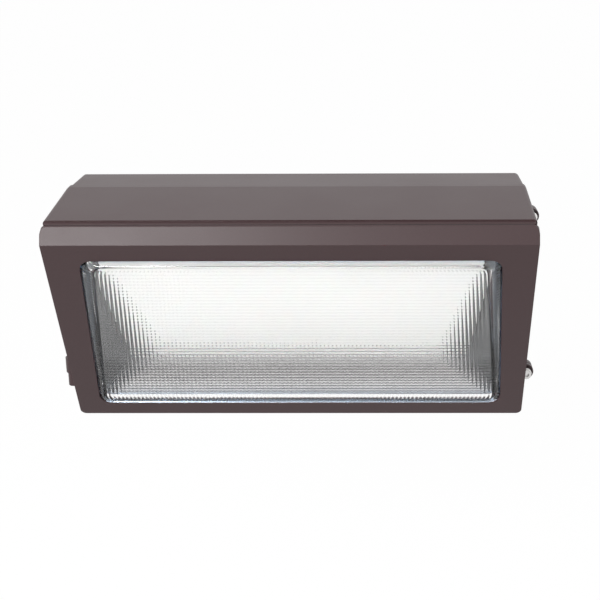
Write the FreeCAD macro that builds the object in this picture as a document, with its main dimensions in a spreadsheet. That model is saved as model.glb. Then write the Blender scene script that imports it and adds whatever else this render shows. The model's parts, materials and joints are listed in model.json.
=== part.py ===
import FreeCAD, Part

# Wall pack light: a die-cast back box screwed to a wall, and a hinged hood that carries a tilted bezel, a
# pressed glass lens and the light engine. Millimetres, +Z up, +X to the viewer's right, -Y away from the
# wall. The origin is on the wall, in the middle of the back box.

import os
import re

import Sketcher
from FreeCAD import Placement, Rotation, Vector

SIZES = {
    # Whole light
    "width": 460,
    "depth": 180,
    "nose_height": 87,
    "face_tilt": 26.7,
    # Back box and what seals it
    "box_depth": 57,
    "box_inset": 0.5,
    "box_wall": 3.2,
    "box_floor": 3.5,
    "box_draft": 0.5,
    "box_corner": 5,
    "wall_gasket_thick": 2,
    "gasket_inset": 1.5,
    "gasket_relief": 1,
    "seal_gap": 1.5,
    "seal_width": 2.2,
    # Hood
    "hood_wall": 3.6,
    "hood_rise": 31,
    "foot_rise": 20.8,
    "neck_extra": 3,
    "bend_depth": 111,
    "hood_edge": 4,
    "sill": 2.2,
    "groove_width": 4.4,
    "groove_side": 1.6,
    "groove_top": 3.2,
    # Bezel
    "bezel_rise": 12.5,
    "bezel_overhang": 1.1,
    "bezel_chamfer": 12.4,
    "bezel_thick": 14.4,
    "bezel_plate": 4,
    "bezel_wall": 4,
    "channel_top": 2,
    "bezel_corner": 6,
    "bezel_gasket_thick": 1,
    "bezel_side": 1.5,
    "side_bar": 31,
    "side_bar_low": 22,
    "top_bar": 19.6,
    "bottom_bar": 16,
    "window_corner": 12,
    # Bezel screws and their bosses
    "boss_radius": 6,
    "boss_inset": 8,
    "boss_top": 2,
    "boss_end": 31,
    "stop_radius": 4.2,
    "hood_boss_length": 10,
    "bezel_screw_radius": 2,
    "bezel_screw_length": 17,
    # Lens
    "lens_seal": 1.5,
    "seal_relief": 0.5,
    "lens_flange": 4,
    "lens_lap": 7,
    "flange_clearance": 4,
    "lens_clearance": 0.8,
    "lens_proud": 5,
    "lens_flank": 7.5,
    "lens_flank_high": 11.8,
    "lens_flank_low": 5.7,
    "lens_glass": 4.5,
    # Clips that hold the lens
    "clip_boss_radius": 4.5,
    "clip_boss_inset": 11,
    "clip_width": 12,
    "clip_reach": 16,
    "clip_thick": 1.2,
    "clip_screw_radius": 1.5,
    "clip_screw_length": 6,
    # Light engine, whose tray leans back further than the face
    "tray_offset": 22,
    "tray_drop": 16,
    "tray_lean": 7,
    "tray_front_offset": 10,
    "tray_sheet": 1.2,
    "tray_margin": 5,
    "tray_low_margin": 7,
    "tray_window_margin": 1,
    "tray_shortfall": 72,
    "tray_front_shortfall": 28,
    "tray_lip": 2,
    "board_thick": 1.6,
    "board_width": 146,
    "board_shortfall": 38,
    "board_gap": 12,
    "board_top": 18,
    "led_radius": 2.6,
    "led_thick": 0.8,
    "led_pitch": 24,
    "board_screw_radius": 1.5,
    "board_screw_inset": 6,
    "diffuser_level": 8,
    "diffuser_thick": 2,
    "diffuser_top_half": 189.5,
    "diffuser_low_half": 160,
    "diffuser_shortfall": 4,
    "post_radius": 3,
    "post_inset": 5,
    "post_low_inset": 7,
    "post_screw_radius": 1.4,
    "post_screw_length": 6,
    "sink_thick": 5,
    "sink_clearance": 2.4,
    "sink_shortfall": 14,
    "fin_thick": 2.5,
    "fin_height": 7,
    "fin_pitch": 22,
    "fin_shortfall": 54,
    "fin_top": 8,
    "lug_depth": 12,
    "lug_height": 14,
    "lug_thick": 8,
    "lug_high": 30,
    "lug_end": 28,
    "sink_screw_radius": 2,
    "sink_screw_length": 10,
    # Hinge on the left
    "hinge_out": 9.5,
    "hinge_rise": 19,
    "hinge_drop": 93,
    "box_knuckle": 6.5,
    "hood_knuckle": 8,
    "box_knuckle_height": 14,
    "hood_knuckle_height": 16,
    "hinge_web": 6,
    "pin_radius": 2.5,
    "pin_clearance": 0.06,
    "pin_inset": 1.5,
    "hinge_washer": 0.6,
    # Captive closing screws on the right
    "ear_radius": 8,
    "ear_out": 6,
    "ear_rise": 35,
    "ear_drop": 32,
    "ear_length": 5.5,
    "box_ear_length": 9,
    "bore_radius": 6.4,
    "bore_depth": 2,
    "screw_radius": 3,
    "thread_clearance": 0.08,
    "screw_head_radius": 4.6,
    "screw_head": 4.5,
    "screw_length": 12.3,
    "screw_travel": 7,
    "washer_radius": 5.6,
    "washer_thick": 1.2,
    # Wall fixing and wire entries
    "fix_x": 185,
    "fix_rise": 45,
    "fix_drop": 47,
    "fix_radius": 3.5,
    "entry_radius": 11,
    "entry_z": -45,
    "grommet_wall": 2,
    "grommet_flange": 3,
    "grommet_lip": 2,
    "plug_radius": 10.4,
    "plug_head_radius": 13,
    "plug_head": 3,
    "plug_level": 28,
    "plug_side_z": -40,
    "plug_ring": 1.5,
    "plug_reach": 6,
    "plug_boss": 1,
    # Electrical gear in the back box
    "driver_left": -130,
    "driver_length": 180,
    "driver_width": 62,
    "driver_low": 38,
    "driver_height": 34,
    "driver_foot": 12,
    "driver_foot_thick": 2.5,
    "gear_screw_radius": 2,
    "surge_left": -195,
    "surge_low": -30,
    "surge_length": 44,
    "surge_width": 46,
    "surge_height": 24,
    "block_left": 90,
    "block_length": 58,
    "block_width": 24,
    "block_height": 20,
    "block_poles": 5,
    "ground_x": 175,
    "ground_z": 20,
    "lead_radius": 1.6,
    "lead_gap": 1.2,
}

DERIVED = {
    # Places in the world's Y and Z
    "rim_y": "-(box_depth + seal_gap)",
    "neck_offset": "bezel_thick + bezel_gasket_thick",
    "foot_y": "-depth + (neck_offset - sin(face_tilt) * foot_rise) / cos(face_tilt)",
    "foot_up": "cos(face_tilt) * foot_rise - sin(face_tilt) * (foot_y + depth)",
    "bend_y": "-depth + bend_depth",
    "sill_y": "rim_y - sill",
    "hood_top": "nose_height + hood_rise",
    "hood_bottom": "nose_height - (cos(face_tilt) * (depth + sill_y) - neck_offset) / sin(face_tilt)",
    "half_width": "width / 2",
    "box_half": "width / 2 - box_inset",
    "box_top": "hood_top - box_inset",
    "box_bottom": "hood_bottom + box_inset",
    "floor_y": "-(wall_gasket_thick + box_floor)",
    "shrink": "(box_depth - wall_gasket_thick) * tan(box_draft)",
    "hinge_x": "-(half_width + hinge_out)",
    "hinge_y": "-(box_depth + seal_gap / 2)",
    "ear_x": "half_width + ear_out",
    # Places in the plane of the face: up along it from the nose, out of it towards the viewer
    "window_half": "half_width - side_bar",
    "window_low_half": "half_width - side_bar_low",
    "window_low": "-(face_length - bottom_bar)",
    "flange_half": "boss_x - boss_radius - flange_clearance",
    "flange_rear": "-(bezel_plate + lens_seal + lens_flange)",
    "face_length": "bezel_overhang + (depth + sill_y - neck_offset * cos(face_tilt)) / sin(face_tilt)",
    "boss_x": "half_width - boss_inset",
    "boss_low": "face_length - boss_end",
    "boss_mid": "(boss_top + boss_low) / 2",
    "clip_high": "(boss_top + boss_mid) / 2",
    "clip_low": "(boss_mid + boss_low) / 2",
    "clip_boss_x": "half_width - clip_boss_inset",
    # Places behind the tray
    "tray_y": "-depth + cos(face_tilt) * tray_offset + sin(face_tilt) * tray_drop",
    "tray_z": "nose_height - cos(face_tilt) * tray_drop + sin(face_tilt) * tray_offset",
    "tray_top_half": "diffuser_top_half + tray_margin",
    "tray_low_half": "diffuser_low_half - tray_low_margin",
    "tray_front_half": "window_half - tray_window_margin",
    "tray_front_low_half": "window_low_half - tray_window_margin",
    "tray_length": "face_length - tray_shortfall",
    "tray_front_length": "face_length - tray_front_shortfall",
    "board_height": "tray_length - board_shortfall",
    "diffuser_length": "tray_length - diffuser_shortfall",
    "sink_half": "half_width - hood_wall - sink_clearance",
    "sink_length": "tray_length - sink_shortfall",
    "fin_length": "sink_length - fin_shortfall",
    "lug_x": "half_width - hood_wall - lug_depth / 2",
    "lug_low": "sink_length - lug_end",
    # Heights of the hinge stations, the closing screws and the wall screws
    "hinge_low": "hood_bottom + hinge_rise",
    "hinge_high": "hood_top - hinge_drop",
    "ear_low": "hood_bottom + ear_rise",
    "ear_high": "hood_top - ear_drop",
    "fix_low": "box_bottom + fix_rise",
    "fix_high": "box_top - fix_drop",
}

doc = FreeCAD.newDocument("wall_pack_light")
sheet = doc.addObject("Spreadsheet::Sheet", "Sizes")
for row, (alias, amount) in enumerate(SIZES.items(), start=1):
    sheet.set(f"A{row}", str(amount))
    sheet.setAlias(f"A{row}", alias)
doc.recompute()

parts = []


def cells(text):
    """An expression with every named size pointed at its cell in the sheet."""

    def point(match):
        word = match[0]
        if word in DERIVED:
            return f"({cells(DERIVED[word])})"
        return f"Sizes.{word}" if word in SIZES else word

    return re.sub(r"[a-z_]+", point, str(text))


def value(text):
    """What an expression comes to now."""
    return float(sheet.evalExpression(cells(text)))


def bind(thing, path, text):
    thing.setExpression(path, cells(text))


# ---------------------------------------------------------------- bodies, sketches and features


def add_body(label, place=("0", "0", "0"), lean=None):
    """A body of its own label, at a place, leaning about X so that its local Z points out of a tilted face."""
    body = doc.addObject("PartDesign::Body", label)
    body.Label = label
    if lean:
        body.Placement = Placement(Vector(), Rotation(Vector(1, 0, 0), 90))
        bind(body, "Placement.Rotation.Angle", lean)
    for axis, text in zip("xyz", place):
        bind(body, f"Placement.Base.{axis}", text)
    parts.append(body)
    return body


def face_body(label):
    """Local X to the right, Y up along the tilted face from the nose, Z straight out of it."""
    return add_body(label, ("0", "-depth", "nose_height"), "90 + face_tilt")


def tray_body(label):
    """The same axes as face_body, on the back of the tray, which leans further."""
    return add_body(label, ("0", "tray_y", "tray_z"), "90 + face_tilt + tray_lean")


def add_sketch(body, plane="XY_Plane", level="0"):
    """A sketch on one of the body's origin planes, moved along the plane's normal by level."""
    sketch = body.newObject("Sketcher::SketchObject", f"{body.Label}_sketch")
    origin_plane = next(o for o in body.Origin.OriginFeatures if o.Role == plane)
    sketch.AttachmentSupport = [(origin_plane, "")]
    sketch.MapMode = "FlatFace"
    bind(sketch, "AttachmentOffset.Base.z", level)
    return sketch


def tilted_sketch(body, angle, up, out, plane="XZ_Plane"):
    """A sketch turned about X from an origin plane, at a height and a distance out of that plane."""
    sketch = add_sketch(body, plane, out)
    sketch.AttachmentOffset = Placement(Vector(), Rotation(Vector(1, 0, 0), value(angle)))
    bind(sketch, "AttachmentOffset.Rotation.Angle", angle)
    bind(sketch, "AttachmentOffset.Base.y", up)
    bind(sketch, "AttachmentOffset.Base.z", out)
    return sketch


def face_sketch(body, inset):
    """In a body with world axes: a sketch parallel to the tilted face, inset behind it."""
    return tilted_sketch(
        body,
        "face_tilt",
        f"nose_height + ({inset}) * sin(face_tilt)",
        f"depth - ({inset}) * cos(face_tilt)",
    )


def pin_point(sketch, geometry, place, corner):
    """Bind one point of a sketch to its two distances from the origin."""
    for kind, text in zip(("DistanceX", "DistanceY"), corner):
        index = sketch.addConstraint(Sketcher.Constraint(kind, -1, 1, geometry, place, value(text)))
        bind(sketch, f"Constraints[{index}]", text)


def outline(sketch, corners):
    """A closed outline of straight lines, each corner bound to the sheet."""
    spots = [Vector(value(x), value(y), 0) for x, y in corners]
    lines = []
    for start, end in zip(spots, spots[1:] + spots[:1]):
        lines.append(sketch.addGeometry(Part.LineSegment(start, end), False))
    for line, after, corner in zip(lines, lines[1:] + lines[:1], corners):
        sketch.addConstraint(Sketcher.Constraint("Coincident", line, 2, after, 1))
        pin_point(sketch, line, 1, corner)


def rectangle(sketch, x_low, x_high, y_low, y_high):
    outline(sketch, [(x_low, y_low), (x_high, y_low), (x_high, y_high), (x_low, y_high)])


def rounded(sketch, half, y_low, y_high, radius, low_half=None):
    """A shape with round corners, symmetric about Y, whose lower edge may have a width of its own."""
    upper, lower = f"{half} - ({radius})", f"{low_half or half} - ({radius})"
    low, high = f"{y_low} + {radius}", f"{y_high} - ({radius})"
    centres = [(lower, low), (upper, high), (f"-({upper})", high), (f"-({lower})", low)]
    r = value(radius)
    quarter = 1.5707963267948966
    arcs = []
    for number, (x, y) in enumerate(centres):
        circle = Part.Circle(Vector(value(x), value(y), 0), Vector(0, 0, 1), r)
        start = (number - 1) * quarter
        arcs.append(sketch.addGeometry(Part.ArcOfCircle(circle, start, start + quarter), False))
    lines = []
    for arc, after in zip(arcs, arcs[1:] + arcs[:1]):
        ends = sketch.Geometry[arc].EndPoint, sketch.Geometry[after].StartPoint
        lines.append(sketch.addGeometry(Part.LineSegment(*ends), False))
    for arc, line, after, centre in zip(arcs, lines, arcs[1:] + arcs[:1], centres):
        pin_point(sketch, arc, 3, centre)
        index = sketch.addConstraint(Sketcher.Constraint("Radius", arc, r))
        bind(sketch, f"Constraints[{index}]", radius)
        sketch.addConstraint(Sketcher.Constraint("Tangent", arc, 2, line, 1))
        sketch.addConstraint(Sketcher.Constraint("Tangent", line, 2, after, 1))


def circles(sketch, centres, radius):
    for x, y in centres:
        spot = Vector(value(x), value(y), 0)
        circle = sketch.addGeometry(Part.Circle(spot, Vector(0, 0, 1), value(radius)), False)
        pin_point(sketch, circle, 3, (x, y))
        index = sketch.addConstraint(Sketcher.Constraint("Radius", circle, value(radius)))
        bind(sketch, f"Constraints[{index}]", radius)


def extrude(body, kind, sketch, length, back=False, both=False, draft=None):
    doc.recompute()
    before = body.Shape.Volume if body.Tip else 0
    feature = body.newObject(f"PartDesign::{kind}", f"{body.Label}_{kind.lower()}")
    feature.Profile = sketch
    feature.SideType = "Symmetric" if both else "One side"
    feature.Reversed = back
    bind(feature, "Length", length)
    if draft:
        bind(feature, "TaperAngle", draft)
    doc.recompute()
    change = feature.Shape.Volume - before
    assert change > 0 if kind == "Pad" else change < 0, f"{feature.Label} changes nothing"
    return feature


def pad(body, sketch, length, **how):
    return extrude(body, "Pad", sketch, length, **how)


def pocket(body, sketch, length, **how):
    return extrude(body, "Pocket", sketch, length, **how)


def loft(body, kind, sections):
    feature = body.newObject(f"PartDesign::{kind}", f"{body.Label}_{kind.lower()}")
    feature.Profile = sections[0]
    feature.Sections = sections[1:]
    feature.Ruled = True
    doc.recompute()
    return feature


def fillet(body, feature, names, radius):
    assert names, f"{body.Label} has no such edges"
    dressing = body.newObject("PartDesign::Fillet", f"{body.Label}_fillet")
    dressing.Base = (feature, names)
    bind(dressing, "Radius", radius)
    doc.recompute()
    return dressing


def mirror(spots):
    """Each spot and its mirror image across the middle of the light."""
    return [(f"-({x})" if side < 0 else x, y) for x, y in spots for side in (-1, 1)]


def screws(body, spots, seat, length, radius, head_radius, head, socket, plane="XY_Plane"):
    """Separate socket-head screws whose heads stand on a seat and whose shanks point the other way."""
    shank = add_sketch(body, plane, seat)
    circles(shank, spots, radius)
    pad(body, shank, length, back=True)
    cap = add_sketch(body, plane, seat)
    circles(cap, spots, head_radius)
    pad(body, cap, head)
    recess = add_sketch(body, plane, f"{seat} + {head}")
    circles(recess, spots, socket)
    pocket(body, recess, f"({head}) * 0.6")


# ---------------------------------------------------------------- back box

BOX_FRONT = "box_depth"
BOX_BACK = "wall_gasket_thick"
FIXINGS = mirror([("fix_x", "fix_low"), ("fix_x", "fix_high")])
ENTRY = ("0", "entry_z")
HINGE_STATIONS = ["hinge_low", "hinge_high"]
EAR_STATIONS = {"lower": "ear_low", "upper": "ear_high"}
PLUG_Y = "-plug_level"
# Each conduit entry: plane, centre in it, how far out its raised flat stands, whether the wall is behind it
ENTRIES = [
    ("YZ_Plane", (PLUG_Y, "plug_side_z"), "box_half + plug_boss", True),
    ("YZ_Plane", (PLUG_Y, "plug_side_z"), "-(box_half + plug_boss)", False),
    ("XY_Plane", ("0", PLUG_Y), "box_bottom - plug_boss", False),
]
DRIVER_SCREWS = [
    ("driver_left - driver_foot / 2", "driver_low + driver_width * 0.2"),
    ("driver_left - driver_foot / 2", "driver_low + driver_width * 0.8"),
    ("driver_left + driver_length + driver_foot / 2", "driver_low + driver_width * 0.2"),
    ("driver_left + driver_length + driver_foot / 2", "driver_low + driver_width * 0.8"),
]
GROUND = [("ground_x", "ground_z")]


def knuckles(body, low_edges, height, radius, web_front, web_back, bore):
    """Hinge barrels round the hinge axis, each on a web from the side wall."""
    wall_x = "-(half_width - box_inset - 1)"
    for low in low_edges:
        barrel = add_sketch(body, "XY_Plane", low)
        circles(barrel, [("hinge_x", "hinge_y")], radius)
        pad(body, barrel, height)
        web = add_sketch(body, "XY_Plane", low)
        rectangle(web, "hinge_x", wall_x, web_front, web_back)
        pad(body, web, height)
        hole = add_sketch(body, "XY_Plane", f"{low} + {height}")
        circles(hole, [("hinge_x", "hinge_y")], bore)
        pocket(body, hole, height)


def make_back_box():
    box = add_body("back_box")
    rim = add_sketch(box, "XZ_Plane", BOX_FRONT)
    rectangle(rim, "-box_half", "box_half", "box_bottom", "box_top")
    shell = pad(box, rim, f"{BOX_FRONT} - {BOX_BACK}", back=True, draft="-box_draft")
    corners = []
    for number, edge in enumerate(shell.Shape.Edges, start=1):
        if edge.BoundBox.YLength > 10:
            corners.append(f"Edge{number}")
    fillet(box, shell, corners, "box_corner")
    hollow = add_sketch(box, "XZ_Plane", BOX_FRONT)
    rounded(
        hollow,
        "box_half - box_wall",
        "box_bottom + box_wall",
        "box_top - box_wall",
        "box_corner - box_wall",
    )
    pocket(box, hollow, f"{BOX_FRONT} - {BOX_BACK} - box_floor", draft="-box_draft")
    for station in EAR_STATIONS.values():
        ear = add_sketch(box, "XZ_Plane", BOX_FRONT)
        circles(ear, [("ear_x", station)], "ear_radius")
        pad(box, ear, "box_ear_length", back=True)
        thread = add_sketch(box, "XZ_Plane", BOX_FRONT)
        circles(thread, [("ear_x", station)], "screw_radius + thread_clearance")
        pocket(box, thread, "box_ear_length")
    knuckles(
        box,
        HINGE_STATIONS,
        "box_knuckle_height",
        "box_knuckle",
        "-box_depth",
        "-box_depth + hinge_web",
        "pin_radius",
    )
    fixings = add_sketch(box, "XZ_Plane", BOX_FRONT)
    circles(fixings, FIXINGS, "fix_radius")
    circles(fixings, [ENTRY], "entry_radius")
    pocket(box, fixings, BOX_FRONT)
    gear = add_sketch(box, "XZ_Plane", "-floor_y")
    circles(gear, DRIVER_SCREWS + GROUND, "gear_screw_radius")
    pocket(box, gear, "box_floor - 0.8")
    for plane, spot, flat, inward in ENTRIES:
        seat = add_sketch(box, plane, flat)
        circles(seat, [spot], "plug_head_radius + 1")
        pad(box, seat, "plug_boss + box_wall", back=inward)
        entry = add_sketch(box, plane, flat)
        circles(entry, [spot], "plug_radius")
        pocket(box, entry, "plug_boss + 3 * box_wall", back=not inward)


def make_wall_gasket():
    """A pad of closed-cell foam over the whole back, open only at the fixings and the wire entry."""
    gasket = add_body("wall_gasket")
    sheet_edge = add_sketch(gasket, "XZ_Plane", "0")
    low = "box_bottom + shrink + gasket_inset"
    high = "box_top - shrink - gasket_inset"
    rounded(sheet_edge, "box_half - shrink - gasket_inset", low, high, "box_corner")
    circles(sheet_edge, FIXINGS, "fix_radius + gasket_relief")
    circles(sheet_edge, [ENTRY], "entry_radius + gasket_relief")
    pad(gasket, sheet_edge, "wall_gasket_thick")


def make_grommet():
    grommet = add_body("wire_grommet")
    flange = add_sketch(grommet, "XZ_Plane", "-floor_y")
    circles(flange, [ENTRY], "entry_radius + grommet_flange")
    pad(grommet, flange, "grommet_lip")
    sleeve = add_sketch(grommet, "XZ_Plane", "-floor_y")
    circles(sleeve, [ENTRY], "entry_radius")
    pad(grommet, sleeve, "box_floor", back=True)
    bore = add_sketch(grommet, "XZ_Plane", "-floor_y + grommet_lip")
    circles(bore, [ENTRY], "entry_radius - grommet_wall")
    pocket(grommet, bore, "box_floor + grommet_lip")


def make_plugs():
    """Threaded plugs in the two side entries and the bottom one, each with a sealing ring under its head."""
    plugs = add_body("conduit_plugs")
    rings = add_body("plug_orings")
    for plane, spot, flat, inward in ENTRIES:
        seat = f"{flat} + plug_ring" if inward else f"{flat} - plug_ring"
        ring = add_sketch(rings, plane, flat)
        circles(ring, [spot], "plug_head_radius - 0.6")
        circles(ring, [spot], "plug_radius")
        pad(rings, ring, "plug_ring", back=not inward)
        shank = add_sketch(plugs, plane, seat)
        circles(shank, [spot], "plug_radius")
        pad(plugs, shank, "plug_ring + plug_boss + box_wall + plug_reach", back=inward)
        head = add_sketch(plugs, plane, seat)
        circles(head, [spot], "plug_head_radius")
        pad(plugs, head, "plug_head", back=not inward)


# ---------------------------------------------------------------- electrical gear


def make_gear():
    driver = add_body("driver_case")
    case = add_sketch(driver, "XZ_Plane", "-floor_y")
    rectangle(
        case,
        "driver_left",
        "driver_left + driver_length",
        "driver_low",
        "driver_low + driver_width",
    )
    pad(driver, case, "driver_height")
    feet = add_sketch(driver, "XZ_Plane", "-floor_y")
    rectangle(
        feet,
        "driver_left - driver_foot",
        "driver_left + driver_length + driver_foot",
        "driver_low + driver_width * 0.1",
        "driver_low + driver_width * 0.9",
    )
    pad(driver, feet, "driver_foot_thick")
    slots = add_sketch(driver, "XZ_Plane", "-floor_y + driver_foot_thick")
    circles(slots, DRIVER_SCREWS, "gear_screw_radius + 0.2")
    pocket(driver, slots, "driver_foot_thick")

    fasteners = add_body("driver_screws")
    screws(
        fasteners,
        DRIVER_SCREWS,
        "-floor_y + driver_foot_thick",
        "driver_foot_thick + box_floor - 1",
        "gear_screw_radius",
        "gear_screw_radius * 1.9",
        "2.4",
        "1.2",
        plane="XZ_Plane",
    )

    surge = add_body("surge_protector")
    block = add_sketch(surge, "XZ_Plane", "-floor_y")
    rectangle(
        block,
        "surge_left",
        "surge_left + surge_length",
        "surge_low",
        "surge_low + surge_width",
    )
    pad(surge, block, "surge_height")

    terminals = add_body("terminal_block")
    base = add_sketch(terminals, "XZ_Plane", "-floor_y")
    rectangle(
        base,
        "block_left",
        "block_left + block_length",
        "driver_low",
        "driver_low + block_width",
    )
    pad(terminals, base, "block_height")
    holes = add_sketch(terminals, "XZ_Plane", "-floor_y + block_height")
    step = "block_length / block_poles"
    centres = [
        (f"block_left + {step} * {pole + 0.5}", f"driver_low + block_width * {row}")
        for pole in range(int(value("block_poles")))
        for row in (0.3, 0.7)
    ]
    circles(holes, centres, "block_width / 8")
    pocket(terminals, holes, "block_height / 3")

    ground = add_body("ground_screw")
    screws(
        ground,
        GROUND,
        "-floor_y",
        "box_floor - 1",
        "gear_screw_radius",
        "gear_screw_radius * 2.2",
        "2.6",
        "1.2",
        plane="XZ_Plane",
    )


def make_leads():
    """Three insulated leads that run straight from the driver's end to the terminal block."""
    leads = add_body("driver_leads")
    start = "driver_left + driver_length"
    for number in range(3):
        section = add_sketch(leads, "YZ_Plane", start)
        height = f"floor_y - driver_foot_thick - lead_radius - 4 - {number} * (2 * lead_radius + lead_gap)"
        circles(section, [(height, "driver_low + block_width / 2")], "lead_radius")
        pad(leads, section, f"block_left - ({start})")


# ---------------------------------------------------------------- hood

BEZEL_BOSSES = mirror(
    [
        ("boss_x", "-boss_top"),
        ("boss_x", "-boss_mid"),
        ("boss_x", "-boss_low"),
    ]
)


def make_hood():
    hood = add_body("hood")
    profile = add_sketch(hood, "YZ_Plane")
    outline(
        profile,
        [
            ("foot_y", "nose_height + foot_rise"),
            ("bend_y", "hood_top"),
            ("rim_y", "hood_top"),
            ("rim_y", "hood_bottom"),
            ("sill_y", "hood_bottom"),
        ],
    )
    shell = pad(hood, profile, "width", both=True)
    top_edges = []
    for number, edge in enumerate(shell.Shape.Edges, start=1):
        bounds = edge.BoundBox
        on_side = bounds.XLength < 0.1 and abs(abs(bounds.XMin) - value("half_width")) < 0.1
        if on_side and bounds.ZMin > value("nose_height") and bounds.ZLength < bounds.YLength:
            top_edges.append(f"Edge{number}")
    fillet(hood, shell, top_edges, "hood_edge")
    hollow = add_sketch(hood, "YZ_Plane")
    beyond = "20"
    ceiling = "nose_height + foot_rise - hood_wall - neck_extra"
    outline(
        hollow,
        [
            (f"foot_y - {beyond}", ceiling),
            ("foot_y", ceiling),
            ("bend_y", "hood_top - hood_wall"),
            (f"rim_y + {beyond}", "hood_top - hood_wall"),
            (f"rim_y + {beyond}", "hood_bottom + hood_wall"),
            (f"foot_y - {beyond}", "hood_bottom + hood_wall"),
        ],
    )
    pocket(hood, hollow, "width - 2 * hood_wall", both=True)

    groove = face_sketch(hood, "neck_offset")
    rectangle(
        groove,
        "-(half_width + 10)",
        "half_width + 10",
        "-(face_length + 40)",
        "foot_up + 20",
    )
    rectangle(
        groove,
        "-(half_width - groove_side)",
        "half_width - groove_side",
        "-(face_length + 30)",
        "foot_up - groove_top",
    )
    pocket(hood, groove, "groove_width")

    bosses = face_sketch(hood, "neck_offset")
    circles(bosses, BEZEL_BOSSES, "boss_radius")
    pad(hood, bosses, "hood_boss_length", back=True)
    holes = face_sketch(hood, "neck_offset")
    circles(holes, BEZEL_BOSSES, "bezel_screw_radius + 0.2")
    pocket(hood, holes, "hood_boss_length + 1")

    lugs = tilted_sketch(
        hood,
        "face_tilt + tray_lean",
        "tray_z + sink_thick * sin(face_tilt + tray_lean)",
        "-(tray_y) - sink_thick * cos(face_tilt + tray_lean)",
    )
    for side in (-1, 1):
        for level in ("lug_high", "lug_low"):
            inner = f"{side} * (half_width - hood_wall - lug_depth)"
            outer = f"{side} * (half_width - hood_wall + 1)"
            rectangle(lugs, inner, outer, f"-({level} + lug_height / 2)", f"-({level} - lug_height / 2)")
    pad(hood, lugs, "lug_thick", back=True)
    threads = tilted_sketch(
        hood,
        "face_tilt + tray_lean",
        "tray_z + sink_thick * sin(face_tilt + tray_lean)",
        "-(tray_y) - sink_thick * cos(face_tilt + tray_lean)",
    )
    circles(threads, SINK_SCREWS, "sink_screw_radius")
    pocket(hood, threads, "lug_thick - 1")

    for station in EAR_STATIONS.values():
        ear = add_sketch(hood, "XZ_Plane", "-(rim_y)")
        circles(ear, [("ear_x", station)], "ear_radius")
        pad(hood, ear, "ear_length")
        passage = add_sketch(hood, "XZ_Plane", "-(rim_y) + ear_length")
        circles(passage, [("ear_x", station)], "screw_radius + thread_clearance")
        pocket(hood, passage, "ear_length")
        seat = add_sketch(hood, "XZ_Plane", "-(rim_y) + ear_length")
        circles(seat, [("ear_x", station)], "bore_radius")
        pocket(hood, seat, "bore_depth")
    knuckles(
        hood,
        [f"{low} + box_knuckle_height + hinge_washer" for low in HINGE_STATIONS],
        "hood_knuckle_height",
        "hood_knuckle",
        "rim_y - hinge_web",
        "rim_y",
        "pin_radius + pin_clearance",
    )


def make_hood_gasket():
    gasket = add_body("hood_gasket")
    ring = add_sketch(gasket, "XZ_Plane", "-(rim_y)")
    edge = "box_half - 0.3"
    low = "hood_bottom + box_inset + 0.3"
    high = "hood_top - box_inset - 0.3"
    rounded(ring, edge, low, high, "box_corner")
    rounded(
        ring,
        f"{edge} - seal_width",
        f"{low} + seal_width",
        f"{high} - seal_width",
        "box_corner - seal_width",
    )
    pad(gasket, ring, "seal_gap", back=True)


# ---------------------------------------------------------------- hinge and closing screws


def make_hinge():
    pins = add_body("hinge_pins")
    washers = add_body("hinge_washers")
    reach = "box_knuckle_height + hinge_washer + hood_knuckle_height"
    for low in HINGE_STATIONS:
        pin = add_sketch(pins, "XY_Plane", f"{low} + pin_inset")
        circles(pin, [("hinge_x", "hinge_y")], "pin_radius")
        pad(pins, pin, f"{reach} - 2 * pin_inset")
        washer = add_sketch(washers, "XY_Plane", f"{low} + box_knuckle_height")
        circles(washer, [("hinge_x", "hinge_y")], "box_knuckle")
        circles(washer, [("hinge_x", "hinge_y")], "pin_radius")
        pad(washers, washer, "hinge_washer")


def make_closing_screws():
    """Captive screws, backed right out at rest, each with the washer that travels under its head."""
    seat = "-(rim_y) + ear_length - bore_depth + washer_thick + screw_travel"
    for name, station in EAR_STATIONS.items():
        washer = add_body(f"closing_washer_{name}")
        ring = add_sketch(washer, "XZ_Plane", seat)
        circles(ring, [("ear_x", station)], "washer_radius")
        circles(ring, [("ear_x", station)], "screw_radius + thread_clearance")
        pad(washer, ring, "washer_thick", back=True)
        screw = add_body(f"closing_screw_{name}")
        spots = [("ear_x", station)]
        screws(
            screw,
            spots,
            seat,
            "screw_length",
            "screw_radius",
            "screw_head_radius",
            "screw_head",
            "screw_radius * 0.8",
            plane="XZ_Plane",
        )


# ---------------------------------------------------------------- bezel and lens

CLIP_SPOTS = mirror([("clip_boss_x", "-clip_high"), ("clip_boss_x", "-clip_low")])


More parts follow.
